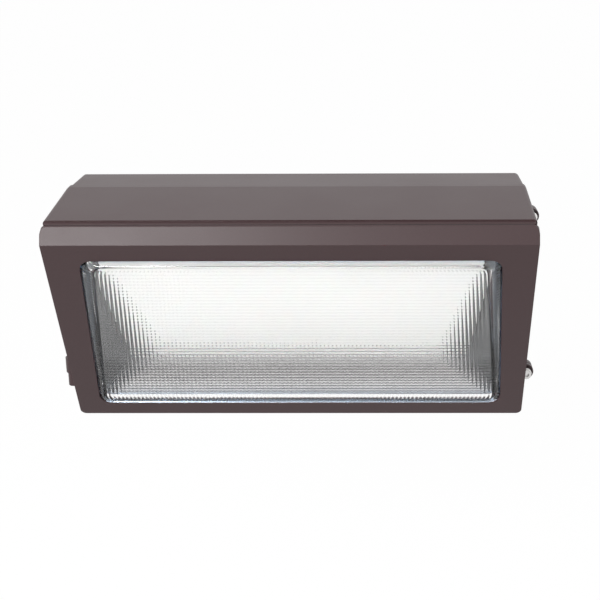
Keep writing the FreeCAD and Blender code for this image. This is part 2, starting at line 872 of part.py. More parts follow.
def make_bezel():
    bezel = face_body("bezel")
    plate = add_sketch(bezel, "XY_Plane", "-bezel_thick")
    rounded(plate, "half_width + bezel_side", "-face_length", "bezel_rise", "bezel_corner")
    pad(bezel, plate, "bezel_thick")
    chamfer = add_sketch(bezel, "YZ_Plane")
    beyond = "bezel_rise + 1"
    outline(
        chamfer,
        [("bezel_rise - bezel_chamfer - 1", "1"), (beyond, "-(bezel_chamfer + 1)"), (beyond, "1")],
    )
    pocket(bezel, chamfer, "width + 20", both=True)
    channel = add_sketch(bezel, "XY_Plane", "-bezel_thick")
    rounded(
        channel,
        "half_width + bezel_side - bezel_wall",
        "-(face_length - bezel_wall)",
        "-channel_top",
        "bezel_corner - bezel_wall",
    )
    pocket(bezel, channel, "bezel_thick - bezel_plate", back=True)
    window = add_sketch(bezel, "XY_Plane", "0")
    rounded(window, "window_half", "window_low", "-top_bar", "window_corner", "window_low_half")
    pocket(bezel, window, "bezel_thick")
    bosses = add_sketch(bezel, "XY_Plane", "-bezel_plate")
    circles(bosses, BEZEL_BOSSES, "boss_radius")
    pad(bezel, bosses, "bezel_thick - bezel_plate", back=True)
    stops = add_sketch(bezel, "XY_Plane", "-bezel_thick")
    circles(stops, BEZEL_BOSSES, "stop_radius")
    pad(bezel, stops, "bezel_gasket_thick", back=True)
    clip_bosses = add_sketch(bezel, "XY_Plane", "-bezel_plate")
    circles(clip_bosses, CLIP_SPOTS, "clip_boss_radius")
    pad(bezel, clip_bosses, "lens_seal + lens_flange", back=True)
    threads = add_sketch(bezel, "XY_Plane", "-neck_offset")
    circles(threads, BEZEL_BOSSES, "bezel_screw_radius")
    pocket(bezel, threads, "bezel_screw_length - hood_boss_length + 0.5", back=True)
    clip_threads = add_sketch(bezel, "XY_Plane", "flange_rear")
    circles(clip_threads, CLIP_SPOTS, "clip_screw_radius")
    pocket(bezel, clip_threads, "clip_screw_length - clip_thick + 0.5", back=True)


def make_bezel_gasket():
    gasket = face_body("bezel_gasket")
    ring = add_sketch(gasket, "XY_Plane", "-bezel_thick")
    top = "bezel_rise - 0.4"
    low = "-(face_length - groove_side)"
    half = "half_width - groove_side"
    rounded(ring, half, low, top, "bezel_corner - groove_side")
    rounded(ring, f"{half} - 1.8", f"{low} + 1.8", f"{top} - 1.8", "bezel_corner - groove_side - 1.8")
    pad(gasket, ring, "bezel_gasket_thick", back=True)


def make_bezel_screws():
    fasteners = face_body("bezel_screws")
    seat = "-(neck_offset + hood_boss_length)"
    shank = add_sketch(fasteners, "XY_Plane", seat)
    circles(shank, BEZEL_BOSSES, "bezel_screw_radius")
    pad(fasteners, shank, "bezel_screw_length")
    head = add_sketch(fasteners, "XY_Plane", seat)
    circles(head, BEZEL_BOSSES, "bezel_screw_radius * 1.9")
    pad(fasteners, head, "3", back=True)
    recess = add_sketch(fasteners, "XY_Plane", f"{seat} - 3")
    circles(recess, BEZEL_BOSSES, "1.4")
    pocket(fasteners, recess, "1.8", back=True)


def make_lens():
    lens = face_body("lens")
    flange = add_sketch(lens, "XY_Plane", "flange_rear")
    low = f"window_low - lens_lap"
    rounded(flange, "flange_half", low, "-top_bar + lens_lap", "window_corner + lens_lap")
    pad(lens, flange, "lens_flange")

    def section(level, inset, slope):
        """An outline in from the window's edge, and on the glass's front in by its sloping flanks too."""
        sketch = add_sketch(lens, "XY_Plane", level)
        rounded(
            sketch,
            f"window_half - ({inset} + {slope} * lens_flank_high)",
            f"window_low + {inset} + {slope} * lens_flank",
            f"-top_bar - ({inset} + {slope} * lens_flank)",
            f"window_corner - ({inset} + {slope} * lens_flank) * 0.5",
            f"window_low_half - ({inset} + {slope} * lens_flank_low)",
        )
        return sketch

    base = section("flange_rear + lens_flange", "lens_clearance", 0)
    crown = section("lens_proud", "lens_clearance", 1)
    loft(lens, "AdditiveLoft", [base, crown])
    inner_base = section("flange_rear", "lens_clearance + lens_glass", 0)
    inner_crown = section("lens_proud - lens_glass", "lens_clearance + lens_glass", 1)
    loft(lens, "SubtractiveLoft", [inner_base, inner_crown])

    gasket = face_body("lens_gasket")
    ring = add_sketch(gasket, "XY_Plane", "-bezel_plate")
    rounded(ring, "flange_half", low, "-top_bar + lens_lap", "window_corner + lens_lap")
    rounded(
        ring,
        "window_half + seal_relief",
        "window_low - seal_relief",
        "-top_bar + seal_relief",
        "window_corner + seal_relief",
        "window_low_half + seal_relief",
    )
    pad(gasket, ring, "lens_seal", back=True)

    clips = face_body("lens_clips")
    plates = add_sketch(clips, "XY_Plane", "flange_rear")
    for side in (-1, 1):
        for level in ("clip_high", "clip_low"):
            outer = f"{side} * (clip_boss_x + clip_boss_radius)"
            inner = f"{side} * (clip_boss_x + clip_boss_radius - clip_reach)"
            rectangle(plates, inner, outer, f"-({level} + clip_width / 2)", f"-({level} - clip_width / 2)")
    pad(clips, plates, "clip_thick", back=True)
    holes = add_sketch(clips, "XY_Plane", "flange_rear")
    circles(holes, CLIP_SPOTS, "clip_screw_radius + 0.15")
    pocket(clips, holes, "clip_thick")

    fasteners = face_body("clip_screws")
    seat = "flange_rear - clip_thick"
    shank = add_sketch(fasteners, "XY_Plane", seat)
    circles(shank, CLIP_SPOTS, "clip_screw_radius")
    pad(fasteners, shank, "clip_screw_length")
    head = add_sketch(fasteners, "XY_Plane", seat)
    circles(head, CLIP_SPOTS, "clip_screw_radius * 1.9")
    pad(fasteners, head, "2", back=True)


# ---------------------------------------------------------------- light engine

SINK_SCREWS = mirror([("lug_x", "-lug_high"), ("lug_x", "-lug_low")])
BOARD_LEFT = "board_gap / 2"
BOARD_LOW = "-(board_top + board_height)"
BOARD_SCREWS = mirror(
    [
        (x, y)
        for x in ("board_gap / 2 + board_screw_inset", "board_gap / 2 + board_width - board_screw_inset")
        for y in ("-(board_top + board_screw_inset)", "-(board_top + board_height - board_screw_inset)")
    ]
)
POST_LOW_Y = "-(diffuser_length - post_inset)"
POSTS = mirror(
    [("diffuser_top_half - post_inset", "-post_inset"), ("tray_low_half - post_low_inset", POST_LOW_Y)]
)
POSTS += [("0", "-post_inset"), ("0", POST_LOW_Y)]


def make_tray():
    tray = tray_body("reflector_tray")
    reach = "(tray_offset - tray_front_offset)"

    def back(level, inset):
        sketch = add_sketch(tray, "XY_Plane", level)
        outline(
            sketch,
            [
                (f"-(tray_low_half - {inset})", f"-(tray_length - {inset})"),
                (f"tray_low_half - {inset}", f"-(tray_length - {inset})"),
                (f"tray_top_half - {inset}", f"tray_lip - {inset}"),
                (f"-(tray_top_half - {inset})", f"tray_lip - {inset}"),
            ],
        )
        return sketch

    def front(inset):
        sketch = tilted_sketch(
            tray,
            "-tray_lean",
            f"{reach} * sin(tray_lean)",
            f"{reach} * cos(tray_lean)",
            plane="XY_Plane",
        )
        outline(
            sketch,
            [
                (f"-(tray_front_low_half - {inset})", f"-(tray_front_length - {inset})"),
                (f"tray_front_low_half - {inset}", f"-(tray_front_length - {inset})"),
                (f"tray_front_half - {inset}", f"tray_lip - {inset}"),
                (f"-(tray_front_half - {inset})", f"tray_lip - {inset}"),
            ],
        )
        return sketch

    loft(tray, "AdditiveLoft", [back("0", "0"), front("0")])
    loft(tray, "SubtractiveLoft", [back("tray_sheet", "tray_sheet"), front("tray_sheet")])
    holes = add_sketch(tray, "XY_Plane", "tray_sheet")
    circles(holes, BOARD_SCREWS, "board_screw_radius + 0.1")
    pocket(tray, holes, "tray_sheet")


def make_boards():
    columns = int(value("board_width / led_pitch"))
    rows = int(value("board_height / led_pitch"))
    for name, side in (("left", -1), ("right", 1)):
        board = tray_body(f"led_board_{name}")
        panel = add_sketch(board, "XY_Plane", "tray_sheet")
        near = f"{side} * {BOARD_LEFT}"
        far = f"{side} * ({BOARD_LEFT} + board_width)"
        rectangle(panel, near, far, BOARD_LOW, "-board_top")
        pad(board, panel, "board_thick")
        holes = add_sketch(board, "XY_Plane", "tray_sheet + board_thick")
        own = [spot for spot in BOARD_SCREWS if spot[0].startswith("-") == (side < 0)]
        circles(holes, own, "board_screw_radius + 0.1")
        pocket(board, holes, "board_thick")
        leds = tray_body(f"leds_{name}")
        chips = add_sketch(leds, "XY_Plane", "tray_sheet + board_thick")
        centres = [
            (
                f"{side} * ({BOARD_LEFT} + board_width / {columns} * {column + 0.5})",
                f"-(board_top + board_height / {rows} * {row + 0.5})",
            )
            for column in range(columns)
            for row in range(rows)
        ]
        circles(chips, centres, "led_radius")
        pad(leds, chips, "led_thick")
    fasteners = tray_body("board_screws")
    screws(
        fasteners,
        BOARD_SCREWS,
        "tray_sheet + board_thick",
        "board_thick + tray_sheet + sink_thick - 1",
        "board_screw_radius",
        "board_screw_radius * 1.9",
        "1.6",
        "0.9",
    )


def make_diffuser():
    diffuser = tray_body("diffuser_panel")
    panel = add_sketch(diffuser, "XY_Plane", "diffuser_level")
    outline(
        panel,
        [
            ("-diffuser_low_half", "-diffuser_length"),
            ("diffuser_low_half", "-diffuser_length"),
            ("diffuser_top_half", "0"),
            ("-diffuser_top_half", "0"),
        ],
    )
    pad(diffuser, panel, "diffuser_thick")
    holes = add_sketch(diffuser, "XY_Plane", "diffuser_level + diffuser_thick")
    circles(holes, POSTS, "post_screw_radius + 0.15")
    pocket(diffuser, holes, "diffuser_thick")
    posts = tray_body("diffuser_posts")
    feet = add_sketch(posts, "XY_Plane", "tray_sheet")
    circles(feet, POSTS, "post_radius")
    pad(posts, feet, "diffuser_level - tray_sheet")
    threads = add_sketch(posts, "XY_Plane", "diffuser_level")
    circles(threads, POSTS, "post_screw_radius")
    pocket(posts, threads, "post_screw_length - diffuser_thick + 0.5")
    fasteners = tray_body("diffuser_screws")
    screws(
        fasteners,
        POSTS,
        "diffuser_level + diffuser_thick",
        "post_screw_length",
        "post_screw_radius",
        "post_screw_radius * 1.9",
        "1.4",
        "post_screw_radius * 0.6",
    )


def make_heat_sink():
    sink = tray_body("heat_sink")
    plate = add_sketch(sink, "XY_Plane", "0")
    rectangle(plate, "-sink_half", "sink_half", "-sink_length", "0")
    pad(sink, plate, "sink_thick", back=True)
    fins = add_sketch(sink, "XY_Plane", "-sink_thick")
    count = int(value("(sink_half - 24) / fin_pitch"))
    for number in range(-count, count + 1):
        middle = f"fin_pitch * {number}"
        rectangle(
            fins,
            f"{middle} - fin_thick / 2",
            f"{middle} + fin_thick / 2",
            "-(fin_top + fin_length)",
            "-fin_top",
        )
    pad(sink, fins, "fin_height", back=True)
    holes = add_sketch(sink, "XY_Plane", "0")
    circles(holes, SINK_SCREWS, "sink_screw_radius + 0.2")
    pocket(sink, holes, "sink_thick")
    threads = add_sketch(sink, "XY_Plane", "0")
    circles(threads, BOARD_SCREWS, "board_screw_radius")
    pocket(sink, threads, "sink_thick - 0.5")
    fasteners = tray_body("heat_sink_screws")
    screws(
        fasteners,
        SINK_SCREWS,
        "0",
        "sink_screw_length",
        "sink_screw_radius",
        "sink_screw_radius * 1.9",
        "2.4",
        "1.2",
    )


# ---------------------------------------------------------------- assembly

make_back_box()
make_wall_gasket()
make_grommet()
make_plugs()
make_gear()
make_leads()
make_hood()
make_hood_gasket()
make_hinge()
make_closing_screws()
make_bezel()
make_bezel_gasket()
make_bezel_screws()
make_lens()
make_tray()
make_boards()
make_diffuser()
make_heat_sink()

doc.recompute()
for thing in doc.Objects:
    assert not {"Invalid", "Error"} & set(thing.State), f"{thing.Label}: {thing.State}"
os.makedirs("parts", exist_ok=True)
for part in parts:
    assert not part.Shape.isNull() and part.Shape.isValid(), f"{part.Label} is not a valid solid"
    part.Shape.exportStep(f"parts/{part.Label}.step")
    print(f"{part.Label}: {len(part.Shape.Solids)} solid(s), {part.Shape.Volume / 1000:.1f} cm3")
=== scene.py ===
import json
from math import cos, pi, radians, sin

import bpy
from mathutils import Matrix, Vector


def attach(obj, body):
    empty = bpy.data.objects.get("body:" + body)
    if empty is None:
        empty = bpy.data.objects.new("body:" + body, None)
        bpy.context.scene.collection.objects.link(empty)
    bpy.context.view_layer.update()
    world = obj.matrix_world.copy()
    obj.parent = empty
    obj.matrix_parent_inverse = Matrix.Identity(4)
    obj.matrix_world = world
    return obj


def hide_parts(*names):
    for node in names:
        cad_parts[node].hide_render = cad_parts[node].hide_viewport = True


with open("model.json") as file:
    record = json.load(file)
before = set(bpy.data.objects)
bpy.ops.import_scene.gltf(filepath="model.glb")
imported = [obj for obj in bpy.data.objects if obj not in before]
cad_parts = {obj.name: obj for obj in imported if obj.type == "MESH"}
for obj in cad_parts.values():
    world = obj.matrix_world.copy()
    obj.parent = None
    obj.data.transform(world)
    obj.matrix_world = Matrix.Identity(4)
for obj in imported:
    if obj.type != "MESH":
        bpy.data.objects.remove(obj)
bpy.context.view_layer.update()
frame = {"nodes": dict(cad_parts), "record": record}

MM = 0.001
WHITE = (1.0, 1.0, 1.0, 1.0)

# ---------------------------------------------------------------- sizes taken from the CAD model, mm

FACE_TILT = radians(26.7)
FACE_UP = (0.0, -sin(FACE_TILT), cos(FACE_TILT))
FACE_OUT = (0.0, -cos(FACE_TILT), -sin(FACE_TILT))
NOSE = (0.0, -180.0, 87.0)
LENS_FLANGE_REAR = -9.5
LENS_FLANGE_FRONT = -5.5
LENS_CROWN = 5.0
LENS_LOW, LENS_HIGH = -220.0, -19.6
LENS_TOP_HALF, LENS_LOW_HALF = 199.0, 208.0
LENS_FLANGE_HALF = 212.0
LENS_GAP = 0.8

# ---------------------------------------------------------------- sizes of the pressed glass, mm

FLANGE_REACH = 7.0
FLANGE_RADIUS = 19.0
OUTER_RADIUS, OUTER_TAPER = 11.5, 3.0
INNER_RADIUS, INNER_TAPER = 9.5, 2.0
GLASS = 4.2
WALL = 2.2
# How far the flanks lean in: at the top corners, the low corners, the low edge and the top edge
SLOPE_TOP, SLOPE_LOW, SLOPE_FOOT, SLOPE_HEAD = 11.8, 5.7, 7.5, 3.6
# Corner arcs and sides of a ring: up the right side, along the top, down the left, along the bottom
ARC_STEPS = 8
SIDE_STEPS = (100, 200, 100, 200)
TOOTH = 0.32
TOOTHED_SHARE = 0.6
# Upright flutes on the outside
FLUTES = 98
FLUTE_HEIGHT = 0.86
COLUMNS_PER_FLUTE = 6
CROWN_ROWS = 48
# Ribs across the inside; their height and form change over a share of the way up
RIB_FOOT = 18.5
RIB_PERIOD = 4.2
RIBS = round((LENS_HIGH - LENS_LOW - RIB_FOOT - SLOPE_HEAD - LENS_GAP - WALL) / RIB_PERIOD)
RIB_TOP, RIB_LOW = 0.21, 0.24
RIB_CHANGE = (0.26, 0.36)
ROWS_PER_RIB = 4
INNER_COLUMNS = 60
# The reliefs fade out this near to a sheet's edge
RELIEF_FADE = 1.5
RIM_HEIGHT = LENS_CROWN - FLUTE_HEIGHT / 2
INNER_LEVEL = LENS_CROWN - FLUTE_HEIGHT - GLASS
# Outer flank: share of the slope, and height
FLANK_PROFILE = [(0.0, -0.6), (0.16, 1.0), (0.42, 2.8), (0.66, 3.8), (0.84, 4.35), (1.0, RIM_HEIGHT)]
# Inner flank: share of the slope on three sides, height, and distance up from the window's low edge
INNER_PROFILE = [
    (0.0, LENS_FLANGE_REAR, 3.0),
    (0.15, -8.0, 3.6),
    (0.35, -6.0, 4.6),
    (0.55, -4.4, 6.5),
    (0.65, -3.6, 8.6),
    (0.85, -1.8, 13.5),
    (1.0, INNER_LEVEL, RIB_FOOT),
]
# Depth below the crown over which the thick rim's tint comes in
RIM_TINT = (9.5, 6.6)
# Height above the ribs' foot over which the painted shade lines come in, and over which they go: darker
# rows painted into the glass in place of the dark rows the ribs' refraction makes
PAINTED_SHADE_RISE, PAINTED_SHADE_FALL = (2.0, 22.0), (40.0, 60.0)
# How many painted shade lines there are, and how dark the painted shade gets at most
PAINTED_SHADE_LINES = 20
PAINTED_SHADE_STRENGTH = 0.9

# ---------------------------------------------------------------- places on the tilted face


def face_point(x, up, out):
    """A point given in the plane of the tilted face, in metres of the row frame."""
    y = NOSE[1] - up * sin(FACE_TILT) - out * cos(FACE_TILT)
    z = NOSE[2] + up * cos(FACE_TILT) - out * sin(FACE_TILT)
    return Vector((x, y, z)) * MM


def nose_along(axis):
    """Where the nose lies along an axis through the origin, in mm."""
    return sum(place * share for place, share in zip(NOSE, axis))


# ---------------------------------------------------------------- material helpers


class Graph:
    """Adds nodes to a material or world and joins them by name."""

    def __init__(self, tree):
        self.tree = tree
        tree.nodes.clear()

    def link(self, source, socket):
        self.tree.links.new(source, socket)

    def feed(self, socket, amount):
        """Joins the socket to another node's, or sets the socket itself where the amount is plain."""
        if isinstance(amount, bpy.types.NodeSocket):
            self.link(amount, socket)
        else:
            socket.default_value = amount

    def node(self, kind, settings=None, **inputs):
        """A node with its settings; each input is named as its socket, with _ for a space."""
        made = self.tree.nodes.new(kind)
        for key, amount in (settings or {}).items():
            setattr(made, key, amount)
        for key, amount in inputs.items():
            self.feed(made.inputs[key.replace("_", " ")], amount)
        return made

    def noise(self, coords, scale, detail=3.0):
        made = self.node(
            "ShaderNodeTexNoise", None, Vector=coords, Scale=scale, Detail=detail, Roughness=0.6
        )
        return made.outputs["Fac"]

    def span(self, source, low, high, start=0.0, end=1.0):
        """Runs from low to high while the source runs from start to end."""
        made = self.node(
            "ShaderNodeMapRange", None, Value=source, From_Min=start, From_Max=end, To_Min=low, To_Max=high
        )
        return made.outputs["Result"]

    def blend(self, factor, one, two):
        """A colour between two, each a socket or red, green and blue."""
        made = self.node("ShaderNodeMix", {"data_type": "RGBA"})
        self.feed(made.inputs[0], factor)
        for index, amount in ((6, one), (7, two)):
            plain = not isinstance(amount, bpy.types.NodeSocket)
            self.feed(made.inputs[index], (*amount, 1.0) if plain else amount)
        return made.outputs[2]

    def math(self, kind, one, two=0.0):
        made = self.node("ShaderNodeMath", {"operation": kind})
        self.feed(made.inputs[0], one)
        self.feed(made.inputs[1], two)
        return made.outputs[0]

    def dot(self, one, two):
        made = self.node("ShaderNodeVectorMath", {"operation": "DOT_PRODUCT"})
        self.feed(made.inputs[0], one)
        self.feed(made.inputs[1], two)
        return made.outputs["Value"]

    def bump(self, height, strength, distance, normal=None):
        made = self.node("ShaderNodeBump", None, Height=height, Strength=strength, Distance=distance)
        if normal:
            self.link(normal, made.inputs["Normal"])
        return made.outputs["Normal"]

    def coords(self):
        return self.node("ShaderNodeTexCoord").outputs["Object"]

    def soft_edges(self, radius):
        return self.node("ShaderNodeBevel", {"samples": 6}, Radius=radius).outputs["Normal"]

    def edge_mask(self, rounded):
        """1 along edges and 0 on flats: how far the rounded normal leans from the true one."""
        true = self.node("ShaderNodeNewGeometry").outputs["Normal"]
        return self.span(self.dot(rounded, true), 1.0, 0.0, 0.90, 0.995)

    def surface(self, base, roughness, normal, **more):
        made = self.node(
            "ShaderNodeBsdfPrincipled", None, Base_Color=base, Roughness=roughness, Normal=normal, **more
        )
        return made.outputs[0]

    def diffuse(self, grey):
        return self.node("ShaderNodeBsdfDiffuse", None, Color=(grey, grey, grey, 1.0)).outputs[0]

    def choose(self, factor, one, two):
        """Shader one where the factor is 0, and two where it is 1."""
        made = self.node("ShaderNodeMixShader")
        for socket, amount in zip(made.inputs, (factor, one, two)):
            self.link(amount, socket)
        return made.outputs[0]

    def sees_backdrop(self):
        """1 for rays from the camera and those that metal and glass send on, 0 for other light."""
        path = self.node("ShaderNodeLightPath").outputs
        direct = self.math("ADD", path["Is Camera Ray"], path["Is Glossy Ray"])
        return self.math("ADD", direct, path["Is Transmission Ray"])

    def finish(self, shader, kind="ShaderNodeOutputMaterial"):
        self.link(shader, self.node(kind).inputs["Surface"])


def material(name):
    mat = bpy.data.materials.new(name)
    mat.use_nodes = True
    return mat, Graph(mat.node_tree)


def scaled(tone, share):
    return [min(1.0, share * part) for part in tone]


# ---------------------------------------------------------------- materials


def powder_coat(name, tone, deep, roughness=0.39, edge=0.0007):
    """Baked powder paint: fine orange peel, slightly uneven tone, and a painted highlight that lightens
    the edges in patches.
    """
    mat, g = material(name)
    at = g.coords()
    cloud = g.noise(at, 7.0, 4.0)
    speckle = g.span(g.noise(at, 1400.0, 2.0), 0.0, 0.35, 0.4, 0.75)
    peel = g.noise(at, 620.0)
    painted_highlight_patches = g.span(g.noise(at, 90.0, 5.0), 0.0, 0.55, 0.35, 0.75)
    rounded = g.soft_edges(edge)
    base = g.blend(g.span(cloud, 0.25, 0.75), deep, tone)
    base = g.blend(speckle, base, scaled(tone, 1.5))
    # painted highlight: the edges are lightened in patches to stand in for the light caught along them
    base = g.blend(g.math("MULTIPLY", g.edge_mask(rounded), painted_highlight_patches), base, scaled(tone, 2.2))
    rough = g.span(cloud, roughness - 0.05, roughness + 0.07)
    g.finish(g.surface(base, rough, g.bump(peel, 0.22, 0.0003, rounded), Specular_IOR_Level=0.44))
    return mat


def metal(name, tone, roughness, streak=(1.0, 1.0, 1.0), scale=160.0, strength=0.12, painted_side_shade=None):
    """Bare metal with fine drawn or cast grain, stretched along the axes with small streak values.

    The faces that look to the left and right take a painted shade, a darker tone, where one is given."""
    mat, g = material(name)
    at = g.coords()
    stretched = g.node("ShaderNodeMapping", None, Vector=at, Scale=streak).outputs[0]
    grain = g.noise(stretched, scale, 4.0)
    cloud = g.noise(at, 12.0)
    base = g.blend(g.span(cloud, 0.2, 0.8), scaled(tone, 0.82), tone)
    # painted shade: faces turned to the left or right get the darker tone because of where they face
    if painted_side_shade:
        normal = g.node("ShaderNodeTexCoord").outputs["Normal"]
        sideways = g.node("ShaderNodeSeparateXYZ", None, Vector=normal).outputs["X"]
        base = g.blend(g.span(g.math("ABSOLUTE", sideways), 0.0, 1.0, 0.2, 0.5), base, painted_side_shade)
    rough = g.span(grain, roughness - 0.07, roughness + 0.1)
    bumps = g.bump(grain, strength, 0.0002, g.soft_edges(0.0004))
    g.finish(g.surface(base, rough, bumps, Metallic=1.0))
    return mat


def plastic(name, tone, roughness, scale=500.0, strength=0.1):
    """Moulded plastic or rubber with a fine tool texture and faint handling marks."""
    mat, g = material(name)
    at = g.coords()
    grain = g.noise(at, scale)
    cloud = g.noise(at, 18.0, 4.0)
    base = g.blend(g.span(cloud, 0.15, 0.85), scaled(tone, 0.86), tone)
    rough = g.span(cloud, roughness - 0.05, roughness + 0.08)
    g.finish(g.surface(base, rough, g.bump(grain, strength, 0.0002, g.soft_edges(0.0004))))
    return mat


def clear_glass(name):
    """Pressed glass: clear, blue in its thick rim, with soft waviness from the mould.

    Across the lower part of the window, darker lines of painted shade follow the ribs, in place of
    the dark rows their refraction makes. Shadow rays pass straight through."""
    mat, g = material(name)
    at = g.coords()
    wave = g.noise(at, 45.0, 2.0)
    crown = nose_along(FACE_OUT) + LENS_CROWN
    thick = g.span(g.dot(at, FACE_OUT), 1.0, 0.0, *[(crown - depth) * MM for depth in RIM_TINT])
    height = g.dot(at, FACE_UP)
    foot = nose_along(FACE_UP) + LENS_LOW + RIB_FOOT
    last = foot + PAINTED_SHADE_LINES * RIB_PERIOD
    # painted shade: a sine across the ribs, faded in above the ribs' foot and out higher up, darkens the
    # glass colour along the ribs in place of their refraction
    painted_shade_wave = g.math("SINE", g.span(height, 0.0, 2 * pi * PAINTED_SHADE_LINES, foot * MM, last * MM))
    strength = g.math(
        "MULTIPLY",
        g.span(height, 0.0, PAINTED_SHADE_STRENGTH, *[(foot + rise) * MM for rise in PAINTED_SHADE_RISE]),
        g.span(height, 1.0, 0.0, *[(foot + rise) * MM for rise in PAINTED_SHADE_FALL]),
    )
    # painted shade: how dark the glass colour is painted along each rib
    painted_rib_shade = g.math("MULTIPLY", g.span(painted_shade_wave, 0.0, 1.0, -0.6, 0.8), strength)
    tone = g.blend(wave, (0.985, 0.99, 0.985), (0.995, 0.995, 0.99))
    tone = g.blend(painted_rib_shade, tone, (0.2, 0.19, 0.19))
    tone = g.blend(thick, tone, (0.42, 0.53, 0.68))
    rough = g.span(wave, 0.0, 0.03)
    glass = g.surface(tone, rough, g.bump(wave, 0.03, 0.001), IOR=1.47, Transmission_Weight=1.0)
    through = g.node("ShaderNodeBsdfTransparent", None, Color=(0.96, 0.96, 0.96, 1.0)).outputs[0]
    shadow = g.node("ShaderNodeLightPath").outputs["Is Shadow Ray"]
    g.finish(g.choose(shadow, glass, through))
    return mat


def opal(name):
    """Opal sheet: white, satin, with a faint cloudiness."""
    mat, g = material(name)
    at = g.coords()
    cloud = g.noise(at, 22.0)
    grain = g.noise(at, 900.0, 2.0)
    base = g.blend(cloud, (0.84, 0.835, 0.825), (0.88, 0.875, 0.865))
    rough = g.span(cloud, 0.42, 0.55)
    bumps = g.bump(grain, 0.06, 0.0002)
    g.finish(g.surface(base, rough, bumps, Subsurface_Weight=0.1, Subsurface_Scale=0.003))
    return mat


BRONZE = (0.056, 0.030, 0.032)
BRONZE_DEEP = (0.048, 0.025, 0.027)
# Each slot's recipe, its tone or tones, its roughness, and what differs from the recipe's own values
recipes = {
    "bronze_casting": (powder_coat, BRONZE, BRONZE_DEEP),
    "bronze_plug": (powder_coat, BRONZE, BRONZE_DEEP, 0.5, 0.0005),
    "driver_shell": (powder_coat, (0.5, 0.5, 0.51), (0.44, 0.44, 0.45), 0.35),
    "green_steel": (powder_coat, (0.03, 0.22, 0.06), (0.02, 0.17, 0.05), 0.3),
    "black_rubber": (plastic, (0.018, 0.018, 0.018), 0.7, 800.0, 0.2),
    "grey_foam": (plastic, (0.06, 0.06, 0.06), 0.9, 700.0, 0.8),
    "black_acetal": (plastic, (0.025, 0.025, 0.025), 0.45),
    "black_plastic": (plastic, (0.028, 0.028, 0.03), 0.5, 900.0, 0.25),
    "lead_insulation": (plastic, (0.035, 0.035, 0.04), 0.4),
    "white_board": (plastic, (0.82, 0.82, 0.8), 0.35, 1200.0, 0.05),
    "led_phosphor": (plastic, (0.85, 0.62, 0.12), 0.3, 2500.0, 0.1),
    "zinc_steel": (metal, (0.55, 0.56, 0.58), 0.3),
    "stainless": (metal, (0.66, 0.65, 0.64), 0.22, (1.0, 1.0, 1.0), 900.0, 0.08),
    "raw_aluminium": (metal, (0.62, 0.63, 0.64), 0.34, (1.0, 0.05, 0.05), 700.0, 0.1),
    # the last tone is the painted shade for the faces that look to the left and right
    "bright_aluminium": (
        metal, (0.56, 0.555, 0.56), 0.22, (0.02, 1.0, 1.0), 900.0, 0.05, (0.23, 0.23, 0.235)
    ),
    "clear_glass": (clear_glass,),
    "opal_panel": (opal,),
}
mats = {slot: recipe(slot, *values) for slot, (recipe, *values) in recipes.items()}
slot_of = {row["node"]: row["material_slot"] for row in frame["record"]["subparts"]}
for node_name, node in frame["nodes"].items():
    node.data.materials.clear()
    node.data.materials.append(mats[slot_of[node_name]])

# ---------------------------------------------------------------- lens of pressed glass


def rounded_ring(halves, low, high, radius, tooth=0.0):
    """Points round an outline with round corners, anticlockwise from the lower right.

    With a tooth, every other point of the sides stands out by it and the rest stand in."""
    top_half, low_half = halves
    centres = [
        (low_half - radius, low + radius),
        (top_half - radius, high - radius),
        (radius - top_half, high - radius),
        (radius - low_half, low + radius),
    ]
    points = []
    for number, (x, y) in enumerate(centres):
        for step in range(ARC_STEPS + 1):
            angle = (number - 1 + step / ARC_STEPS) * pi / 2
            points.append((x + radius * cos(angle), y + radius * sin(angle)))
        ahead = centres[(number + 1) % 4]
        start = points[-1]
        outward = (cos(number * pi / 2), sin(number * pi / 2))
        finish = [ahead[axis] + radius * outward[axis] for axis in range(2)]
        for step in range(1, SIDE_STEPS[number]):
            share = step / SIDE_STEPS[number]
            reach = tooth if step % 2 else -tooth
            points.append([
                start[axis] + share * (finish[axis] - start[axis]) + reach * outward[axis]
                for axis in range(2)
            ])
    return points


class Shell:
    """Points and faces of the glass, with each face marked as smooth or flat."""

    def __init__(self):
        self.verts, self.faces, self.smooth = [], [], []

    def ring(self, halves, low, high, radius, out, tooth=0.0):
        points = rounded_ring(halves, low, high, radius, tooth)
        start = len(self.verts)
        self.verts.extend(face_point(x, y, out) for x, y in points)
        return list(range(start, len(self.verts)))

    def add_face(self, corners, inward, smooth):
        self.faces.append(tuple(reversed(corners)) if inward else corners)
        self.smooth.append(smooth)

    def join(self, one, two, inward, smooth):
        count = len(one)
        for i in range(count):
            j = (i + 1) % count
            self.add_face((one[i], one[j], two[j], two[i]), inward, smooth)

    def sheet(self, halves, low, high, radius, rows, columns, level, relief, inward, smooth):
        """A panel with round corners, whose height above its level is relief(row, column)."""
        start = len(self.verts)
        for r in range(rows + 1):
            y = low + (high - low) * r / rows
            half = halves[1] + (halves[0] - halves[1]) * r / rows
            reach = max(0.0, min(y - low, high - y, radius))
            width = half - radius + (radius**2 - (radius - reach) ** 2) ** 0.5
            for c in range(columns + 1):
                x = width * (2 * c / columns - 1)
                edge = min(width - abs(x), y - low, high - y)
                fade = max(0.0, min(1.0, edge / RELIEF_FADE))
                self.verts.append(face_point(x, y, level + fade * relief(r, c)))
        for r in range(rows):
            for c in range(columns):
                a = start + r * (columns + 1) + c
                self.add_face((a, a + 1, a + columns + 2, a + columns + 1), inward, smooth)

    def make(self, name, mat, body):
        mesh = bpy.data.meshes.new(name)
        mesh.from_pydata([tuple(v) for v in self.verts], [], self.faces)
        for polygon, flag in zip(mesh.polygons, self.smooth):
            polygon.use_smooth = flag
        mesh.materials.append(mat)
        made = bpy.data.objects.new(name, mesh)
        bpy.context.scene.collection.objects.link(made)
        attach(made, body)
        return made


